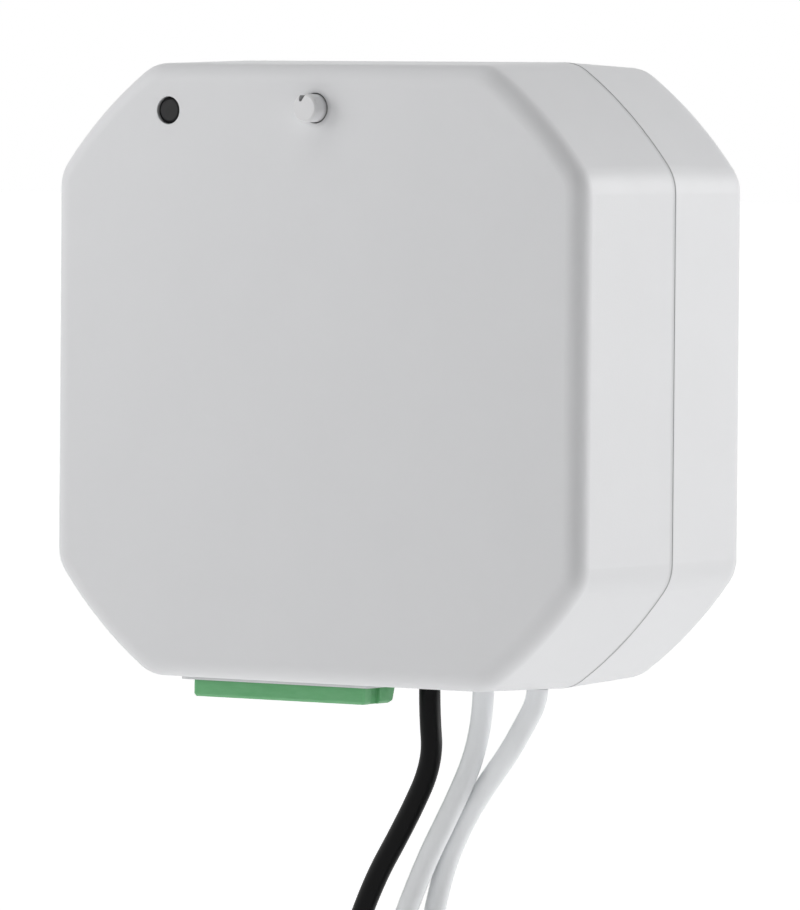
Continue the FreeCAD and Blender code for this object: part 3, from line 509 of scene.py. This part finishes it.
def lead_tail_finish(name, black, white, border):
    """The leads inside the casing: black on one side of a border and white on the other."""
    finish = Finish(name, IOR=1.53)
    across = finish.node("ShaderNodeSeparateXYZ", Vector=finish.place).outputs["X"]
    side = finish.part(across, border - 0.1 * MM, border + 0.1 * MM)
    clouded = finish.mix(finish.noise(1.0 * MM), dimmed(white, 0.9), white)
    finish.colour(finish.mix(side, black, clouded))
    finish.roughness(finish.noise(0.8 * MM), 0.32, 0.46)
    return finish.material


def tinned_wire(name):
    """Solder-dipped copper wire: bright, uneven, with a trace of copper."""
    finish = Finish(name, Metallic=1.0)
    copper = finish.part(finish.noise(0.5 * MM, 3.0), 0.66, 0.78)
    finish.colour(finish.mix(copper, (0.66, 0.66, 0.64), (0.60, 0.44, 0.33)))
    finish.roughness(finish.noise(0.3 * MM), 0.24, 0.42)
    finish.bump(finish.noise(0.22 * MM, 2.0), 0.02 * MM)
    return finish.material


def dress(node, material):
    """Give a CAD node its finish."""
    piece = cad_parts[node]
    piece.data.materials.clear()
    piece.data.materials.append(material)


def seam_outline():
    """The casing's outline at the seam, in order, read from the front shell's rear rim."""
    rim_y = SEAM_Y - SEAM_GAP / 2
    rim = []
    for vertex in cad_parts["front_cover"].data.vertices:
        if abs(vertex.co.y - rim_y) < SAME_PLACE:
            rim.append(Vector((vertex.co.x, vertex.co.z)))
    return [rim[index] for index in convex_hull_2d(rim)]


def moved_in(outline, step):
    """A closed outline with each point moved inwards by a step."""
    result = []
    for number, point in enumerate(outline):
        along = outline[(number + 1) % len(outline)] - outline[number - 1]
        inwards = Vector((-along.y, along.x)).normalized()
        if inwards.dot(point) > 0:
            inwards.negate()
        result.append(point + inwards * step)
    return result


def seam_band(depth):
    """The bottom of the shallow groove between the shells: a band all round the casing."""
    outline = seam_outline()
    outer, inner = moved_in(outline, depth), moved_in(outline, depth + GROOVE_THICKNESS)
    half = SEAM_GAP / 2 - GROOVE_PLAY
    rings = [(outer, -half), (outer, half), (inner, half), (inner, -half)]
    points = [(point.x, SEAM_Y + side, point.y) for ring, side in rings for point in ring]
    count = len(outline)
    faces = []
    for ring in range(len(rings)):
        first, second = ring * count, (ring + 1) % len(rings) * count
        for number in range(count):
            after = (number + 1) % count
            faces.append((first + number, first + after, second + after, second + number))
    mesh = bpy.data.meshes.new("casing_seam")
    mesh.from_pydata(points, [], faces)
    solid = bmesh.new()
    solid.from_mesh(mesh)
    bmesh.ops.recalc_face_normals(solid, faces=solid.faces)
    solid.to_mesh(mesh)
    solid.free()
    return mesh


class SHUTTER_OT_casing(bpy.types.Operator):
    """Give both shells their white moulded finish and lay the groove between them"""

    bl_idname = "shutter.casing"
    bl_label = "Casing"

    def execute(self, context):
        casing = context.scene.shutter_casing
        shell = shell_finish("shell_plastic", casing)
        dress("front_cover", shell)
        dress("rear_case", shell)
        mesh = seam_band(casing.seam_depth)
        mesh.materials.append(groove_finish("groove_plastic", casing))
        seam = linked("casing_seam", mesh)
        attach(seam, "module")
        return {"FINISHED"}


class SHUTTER_OT_button(bpy.types.Operator):
    """Finish the push button, its switch and the indicator window"""

    bl_idname = "shutter.button"
    bl_label = "Button and indicator"

    def execute(self, context):
        casing = context.scene.shutter_casing
        button = moulded("button_plastic", casing.button_colour, casing.grain, edge=0.08 * MM,
                         low=0.36, high=0.46, relief=0.02)
        dress("push_button", button.material)
        dress("indicator_lens", smoked_lens("lens_plastic", casing.lens_colour))
        dress("status_led", clear_epoxy("led_epoxy"))
        steel = plated("switch_steel", (0.68, 0.68, 0.67), 0.3, 0.45, lines=0.1 * MM)
        dress("switch_body", steel)
        stem = cast_case("stem_plastic", (0.02, 0.02, 0.021), 0.3, 0.4)
        dress("switch_stem", stem)
        return {"FINISHED"}


def longer_foot(settings):
    """The terminal housing with its foot drawn out as far as the photograph shows it."""
    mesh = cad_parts["terminal_housing"].data.copy()
    mesh.name = "terminal_block"
    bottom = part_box("terminal_housing")[0].z
    solid = bmesh.new()
    solid.from_mesh(mesh)
    bmesh.ops.remove_doubles(solid, verts=solid.verts, dist=SAME_PLACE)
    for vertex in solid.verts:
        if vertex.co.z < bottom + settings.foot_edge:
            vertex.co += Vector((-settings.foot_shift, 0, -settings.foot_drop))
    solid.to_mesh(mesh)
    solid.free()
    return mesh


class SHUTTER_OT_terminal(bpy.types.Operator):
    """Finish the green terminal, its contact pins, screws and clamp cages"""

    bl_idname = "shutter.terminal"
    bl_label = "Screw terminal"

    def execute(self, context):
        terminal = context.scene.shutter_terminal
        mesh = longer_foot(terminal)
        mesh.materials.clear()
        mesh.materials.append(
            filled_nylon("terminal_nylon", terminal.housing_colour, edge=0.1 * MM))
        block = linked("terminal_block", mesh)
        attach(block, "module")
        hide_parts("terminal_housing")
        pins = plated("pin_tin", (0.72, 0.71, 0.68), 0.25, 0.4, lines=0.15 * MM)
        dress("contact_pins", pins)
        screw = turned_steel("screw_zinc", terminal.screw_colour)
        cage = plated("cage_nickel", terminal.cage_colour, 0.22, 0.38, lines=0.12 * MM)
        for pole in (1, 2, 3, 4):
            dress(f"terminal_screw_{pole}", screw)
            dress(f"clamp_cage_{pole}", cage)
        return {"FINISHED"}


class SHUTTER_OT_board(bpy.types.Operator):
    """Finish the circuit board and the components on it"""

    bl_idname = "shutter.board"
    bl_label = "Board and components"

    def execute(self, context):
        board = solder_mask("board_lacquer", (0.012, 0.10, 0.045), track=(0.05, 0.22, 0.09))
        dress("main_board", board)
        relay = cast_case("relay_case", (0.016, 0.016, 0.018), 0.35, 0.5)
        dress("relay_up", relay)
        dress("relay_down", relay)
        film = cast_case("film_case", (0.62, 0.42, 0.05), 0.3, 0.45)
        dress("mains_capacitor", film)
        dress("varistor", dipped_disc("varistor_lacquer", (0.03, 0.13, 0.42)))
        wound = wound_tape(
            "transformer_tape", tape=(0.75, 0.56, 0.10), core=(0.045, 0.045, 0.048))
        dress("power_transformer", wound)
        sleeve = shrink_sleeve("can_sleeve", (0.02, 0.022, 0.03), stripe=(0.55, 0.56, 0.58))
        dress("bulk_capacitor", sleeve)
        dress("smoothing_capacitor", sleeve)
        dress("fuse", cast_case("fuse_case", (0.30, 0.055, 0.03), 0.35, 0.5))
        ferrite = cast_case("ferrite", (0.06, 0.06, 0.065), 0.55, 0.75)
        dress("power_inductor", ferrite)
        chip = cast_case("chip_epoxy", (0.022, 0.022, 0.024), 0.5, 0.62)
        for node in ("bridge_rectifier", "power_chip", "controller_chip"):
            dress(node, chip)
        header = cast_case("header_plastic", (0.018, 0.018, 0.018), 0.4, 0.5)
        dress("radio_header", header)
        radio = solder_mask("radio_lacquer", (0.01, 0.04, 0.16), track=(0.03, 0.11, 0.32))
        dress("radio_board", radio)
        shield = plated("shield_tin", (0.66, 0.66, 0.65), 0.3, 0.42, lines=0.2 * MM)
        dress("radio_shield", shield)
        sheath = insulation("antenna_sleeve", (0.55, 0.56, 0.58), sheen=0.5)
        dress("antenna", sheath)
        return {"FINISHED"}


def route_points(node, number, settings):
    """A lead's points in metres, from its hole down to the end of the insulation."""
    side = settings.first_hole + settings.spacing * number
    hole = Vector((side, SEAM_Y - settings.from_seam, LEAD_TOP))
    return [hole + Vector((side, back, -down)) * MM for side, back, down in LEAD_ROUTES[node]]


def smooth_tube(name, points, radius):
    """A round tube with closed ends along a smooth line."""
    line = bpy.data.curves.new(name, "CURVE")
    line.dimensions = "3D"
    spline = line.splines.new("NURBS")
    spline.points.add(len(points) - 1)
    for control, point in zip(spline.points, points):
        control.co = (*point, 1)
    spline.order_u = 3
    spline.use_endpoint_u = True
    spline.resolution_u = 12
    spline.use_smooth = True
    line.bevel_depth = radius
    line.bevel_resolution = 6
    line.use_fill_caps = True
    return line


class SHUTTER_OT_leads(bpy.types.Operator):
    """Lay the three switch leads along their routes"""

    bl_idname = "shutter.leads"
    bl_label = "Switch leads"

    def execute(self, context):
        settings = context.scene.shutter_leads
        black = insulation("insulation_black", settings.black, sheen=0.1)
        white = insulation("insulation_white", settings.white, sheen=0.35)
        border = settings.first_hole + settings.spacing / 2
        tails = lead_tail_finish("tail_insulation", settings.black, settings.white, border)
        dress("lead_tails", tails)
        for number, node in enumerate(LEAD_ROUTES):
            is_black = number == 0
            name = f"{node}_insulation"
            line = smooth_tube(name, route_points(node, number, settings), settings.radius)
            line.materials.append(black if is_black else white)
            lead = linked(name, line)
            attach(lead, "module")
            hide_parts(node)
        return {"FINISHED"}


def tree_input(tree, name, kind, default=None):
    """The identifier of a new input of a geometry tree."""
    socket = tree.interface.new_socket(name, in_out="INPUT", socket_type=kind)
    if default is not None:
        socket.default_value = default
    return socket.identifier


def stranded_tree(settings):
    """Wires twisted round a middle one: each ring holds six more than the ring inside it."""
    tree = bpy.data.node_groups.new("Stranded end", "GeometryNodeTree")
    tree.is_modifier = True
    names = {
        "Rings": tree_input(tree, "Rings", "NodeSocketInt", settings.rings),
        "Wire Radius": tree_input(tree, "Wire Radius", "NodeSocketFloat", settings.strand_radius),
        "Length": tree_input(tree, "Length", "NodeSocketFloat", settings.bare_end),
        "Turns": tree_input(tree, "Turns", "NodeSocketFloat", FIRST_TURNS),
        "Finish": tree_input(tree, "Finish", "NodeSocketMaterial"),
    }
    tree.interface.new_socket("Geometry", in_out="OUTPUT", socket_type="NodeSocketGeometry")
    given = add(tree, "NodeGroupInput").outputs
    joined = add(tree, "GeometryNodeJoinGeometry")
    for ring in range(MOST_RINGS + 1):
        wires = max(1, 6 * ring)
        reach = maths(tree, "MULTIPLY", given["Wire Radius"], 2.0 * ring)
        spiral = add(tree, "GeometryNodeCurveSpiral", Resolution=WIRE_STEPS,
                     Rotations=given["Turns"], Height=given["Length"],
                     Start_Radius=reach, End_Radius=reach)
        shown = maths(tree, "GREATER_THAN", given["Rings"], ring - 0.5)
        points = add(tree, "GeometryNodePoints", Count=maths(tree, "MULTIPLY", shown, wires))
        index = add(tree, "GeometryNodeInputIndex").outputs[0]
        turn = add(tree, "ShaderNodeCombineXYZ",
                   Z=maths(tree, "MULTIPLY", index, math.tau / wires))
        copies = add(tree, "GeometryNodeInstanceOnPoints", Points=points.outputs[0],
                     Instance=spiral.outputs[0], Rotation=turn.outputs[0])
        feed(tree, joined.inputs[0], copies.outputs[0])
    real = add(tree, "GeometryNodeRealizeInstances", joined.outputs[0])
    outline = add(tree, "GeometryNodeCurvePrimitiveCircle", Resolution=WIRE_FACES,
                  Radius=given["Wire Radius"])
    sweep = add(tree, "GeometryNodeCurveToMesh", Curve=real.outputs[0],
                Profile_Curve=outline.outputs[0], Fill_Caps=True)
    painted = add(tree, "GeometryNodeSetMaterial", Geometry=sweep.outputs[0],
                  Material=given["Finish"])
    add(tree, "NodeGroupOutput", painted.outputs[0])
    return tree, names


def grown(name, tree, values):
    """The plain mesh that a geometry tree makes."""
    holder = linked(f"{name}_holder", bpy.data.meshes.new(f"{name}_holder"))
    modifier = holder.modifiers.new("Shape", "NODES")
    modifier.node_group = tree
    for socket, value in values.items():
        modifier[socket] = value
    evaluated = holder.evaluated_get(bpy.context.evaluated_depsgraph_get())
    mesh = bpy.data.meshes.new_from_object(evaluated)
    holder.modifiers.clear()
    bpy.data.objects.remove(holder)
    mesh.name = name
    return mesh


class SHUTTER_OT_bare_ends(bpy.types.Operator):
    """Twist the tinned wires of each lead's bare end"""

    bl_idname = "shutter.bare_ends"
    bl_label = "Bare ends"

    def execute(self, context):
        settings = context.scene.shutter_leads
        tree, names = stranded_tree(settings)
        wire = tinned_wire("tinned_wire")
        for number, node in enumerate(LEAD_ROUTES):
            mesh = grown(f"{node}_strands", tree, {
                names["Rings"]: settings.rings,
                names["Wire Radius"]: settings.strand_radius,
                names["Length"]: settings.bare_end,
                names["Turns"]: FIRST_TURNS + MORE_TURNS * number,
                names["Finish"]: wire,
            })
            points = route_points(node, number, settings)
            along = (points[-1] - points[-2]).normalized()
            turned = along.to_track_quat("Z", "Y").to_matrix().to_4x4()
            mesh.transform(Matrix.Translation(points[-1]) @ turned)
            mesh.shade_smooth()
            end = linked(f"{node}_strands", mesh)
            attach(end, "module")
            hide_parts(f"{node}_tip")
        return {"FINISHED"}


def direction(azimuth, height):
    """The way from the module to a place, by angles round it and above the level."""
    level = math.cos(height)
    return Vector((math.sin(azimuth) * level, -math.cos(azimuth) * level, math.sin(height)))


def lamp_holder(name, lamp, azimuth, height, distance):
    """A lamp that stands at a direction in degrees and a distance and faces the module."""
    towards = direction(math.radians(azimuth), math.radians(height))
    holder = linked(name, lamp)
    holder.rotation_mode = "QUATERNION"
    holder.rotation_quaternion = towards.to_track_quat("Z", "Y")
    holder.location = towards * distance
    holder.visible_camera = False


def far_softbox(name, strength, azimuth, height, width):
    """A wide distant softbox; white that faces it gets the strength as its brightness."""
    lamp = bpy.data.lights.new(name, "SUN")
    lamp.energy = strength * math.pi
    lamp.angle = math.radians(width)
    lamp_holder(name, lamp, azimuth, height, 1.0)


def near_softbox(name, strength, azimuth, height, distance):
    """A softbox close by, whose light falls off across the module."""
    lamp = bpy.data.lights.new(name, "AREA")
    lamp.shape = "DISK"
    lamp.size = distance * DISK_SHARE
    lamp.energy = strength * (math.pi * distance) ** 2
    lamp_holder(name, lamp, azimuth, height, distance)


def seen_directly(tree):
    """1 for a ray that shows the background itself, also in a reflection or through a lens."""
    path = add(tree, "ShaderNodeLightPath").outputs
    direct = path["Is Camera Ray"]
    for ray in ("Is Glossy Ray", "Is Transmission Ray"):
        direct = maths(tree, "MAXIMUM", direct, path[ray])
    return direct


def studio_world(ambient):
    """A plain room: soft light on the object and white behind it."""
    world = bpy.data.worlds.new("studio")
    world.use_nodes = True
    tree = world.node_tree
    light = tree.nodes["Background"]
    feed(tree, light.inputs["Color"], WHITE)
    feed(tree, light.inputs["Strength"], ambient)
    white = add(tree, "ShaderNodeBackground", Color=WHITE, Strength=1.0)
    mixed = add(tree, "ShaderNodeMixShader", seen_directly(tree), light.outputs[0],
                white.outputs[0])
    feed(tree, tree.nodes["World Output"].inputs["Surface"], mixed.outputs[0])
    return world


def studio_floor(height, glow_light):
    """A pale lit floor that keeps the shadow and runs into the white background."""
    sides = ((-1, -1), (1, -1), (1, 1), (-1, 1))
    corners = [(FLOOR_REACH * across, FLOOR_REACH * back, height) for across, back in sides]
    mesh = bpy.data.meshes.new("floor")
    mesh.from_pydata(corners, [], [(0, 1, 2, 3)])
    floor = linked("floor", mesh)
    finish = Finish("floor_paper", Roughness=0.9, Specular_IOR_Level=0.1)
    finish.shade(finish.noise(0.3, 1.0), (0.8, 0.8, 0.8), 0.01)
    glow_strength = finish.between(seen_directly(finish.tree), glow_light, FLOOR_SEEN)
    glow = finish.node("ShaderNodeEmission", Color=WHITE, Strength=glow_strength)
    both = add(finish.tree, "ShaderNodeAddShader", finish.shader.outputs[0], glow.outputs[0])
    surface = finish.tree.nodes["Material Output"].inputs["Surface"]
    feed(finish.tree, surface, both.outputs[0])
    mesh.materials.append(finish.material)


def studio_camera(studio):
    """A long lens that looks at the module from the front right."""
    back = direction(studio.azimuth, studio.elevation)
    level_right = Vector((math.cos(studio.azimuth), math.sin(studio.azimuth), 0))
    tilt = back.cross(level_right) * math.sin(studio.roll)
    right = level_right * math.cos(studio.roll) + tilt
    up = back.cross(right)
    aim = Vector((AIM_SIDE, AIM_DEPTH, studio.aim_height))
    camera = linked("camera", bpy.data.cameras.new("camera"))
    camera.data.lens = studio.lens
    camera.data.clip_start = 0.05
    camera.data.clip_end = 60
    turned = Matrix((right, up, back)).transposed().to_4x4()
    camera.matrix_world = Matrix.Translation(aim + back * studio.distance) @ turned
    bpy.context.scene.camera = camera


class SHUTTER_OT_stage(bpy.types.Operator):
    """Set the floor, the soft lamps, the white room and the camera"""

    bl_idname = "shutter.stage"
    bl_label = "Studio"

    def execute(self, context):
        studio = context.scene.shutter_studio
        context.scene.view_settings.view_transform = "Standard"
        context.scene.world = studio_world(studio.ambient)
        studio_floor(LEAD_END - studio.floor_gap, studio.floor_light)
        near_softbox("left_softbox", studio.left_light, azimuth=-45, height=20,
                     distance=studio.left_distance)
        far_softbox("rear_softbox", studio.rear_light, azimuth=140, height=10, width=38)
        far_softbox("top_softbox", studio.top_light, azimuth=-30, height=75, width=60)
        studio_camera(studio)
        return {"FINISHED"}


OPERATORS = (
    SHUTTER_OT_casing,
    SHUTTER_OT_button,
    SHUTTER_OT_terminal,
    SHUTTER_OT_board,
    SHUTTER_OT_leads,
    SHUTTER_OT_bare_ends,
    SHUTTER_OT_stage,
)
SETTINGS = {
    "shutter_casing": CasingSettings,
    "shutter_terminal": TerminalSettings,
    "shutter_leads": LeadSettings,
    "shutter_studio": StudioSettings,
}


class SHUTTER_PT_module(bpy.types.Panel):
    """Sizes, colours and steps of the shutter module"""

    bl_idname = "SHUTTER_PT_module"
    bl_label = "Shutter Module"
    bl_space_type = "VIEW_3D"
    bl_region_type = "UI"
    bl_category = "Shutter"

    def draw(self, context):
        for name, group in SETTINGS.items():
            box = self.layout.box()
            for setting in group.__annotations__:
                box.prop(getattr(context.scene, name), setting)
        for operator in OPERATORS:
            self.layout.operator(operator.bl_idname)


def register():
    """Make the settings, the steps and the panel known to Blender."""
    for name, group in SETTINGS.items():
        bpy.utils.register_class(group)
        setattr(bpy.types.Scene, name, PointerProperty(type=group))
    for kind in (*OPERATORS, SHUTTER_PT_module):
        bpy.utils.register_class(kind)


def unregister():
    """Take the panel, the steps and the settings away again."""
    for kind in (SHUTTER_PT_module, *reversed(OPERATORS)):
        bpy.utils.unregister_class(kind)
    for name, group in SETTINGS.items():
        delattr(bpy.types.Scene, name)
        bpy.utils.unregister_class(group)


def main():
    """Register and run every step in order."""
    register()
    bpy.ops.shutter.casing()
    bpy.ops.shutter.button()
    bpy.ops.shutter.terminal()
    bpy.ops.shutter.board()
    bpy.ops.shutter.leads()
    bpy.ops.shutter.bare_ends()
    bpy.ops.shutter.stage()


if __name__ == "__main__":
    main()
